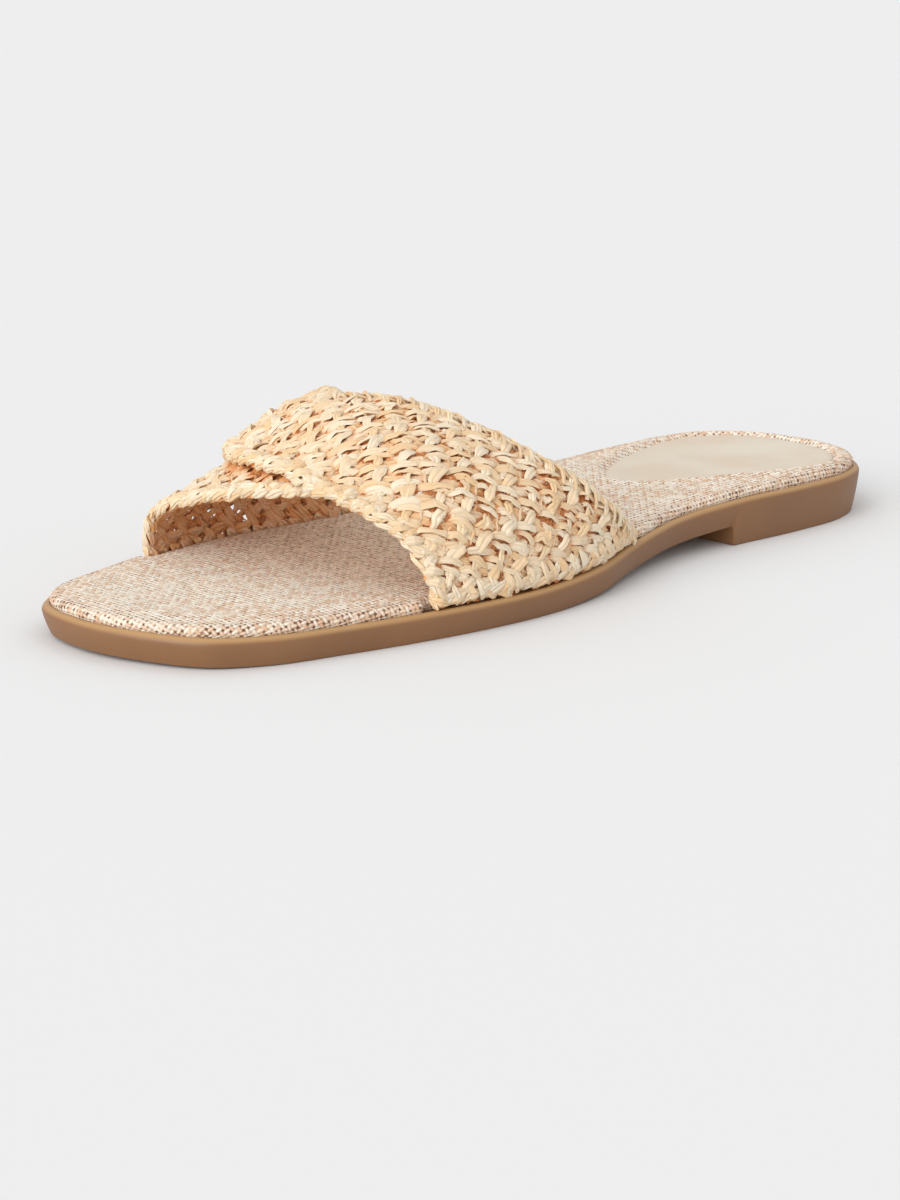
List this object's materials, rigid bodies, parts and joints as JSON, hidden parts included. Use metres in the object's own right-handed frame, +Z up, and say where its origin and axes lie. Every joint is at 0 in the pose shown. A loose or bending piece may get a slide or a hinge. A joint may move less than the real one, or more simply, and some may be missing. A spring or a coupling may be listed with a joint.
{
  "type": "woven flat sandal",
  "caption": "Flat slip-on sandal, left shoe: crossing woven raffia bands over a linen footbed on a moulded rubber sole with a low heel.",
  "frame": {"origin": "on the floor under the middle of the shoe's bounding box", "axes": "+X from heel to toe, +Y to the wearer's left (the outer side of this left shoe), +Z up"},
  "size_m": [0.25, 0.0906, 0.047],
  "materials": {
    "rubber_sole": "satin moulded",
    "linen": "matt slubby plain weave",
    "raffia": "satin paper raffia crochet"
  },
  "bodies": {
    "root": {"outsole": "rubber_sole", "footbed": "linen", "upper": "raffia"}
  },
  "joints": []
}
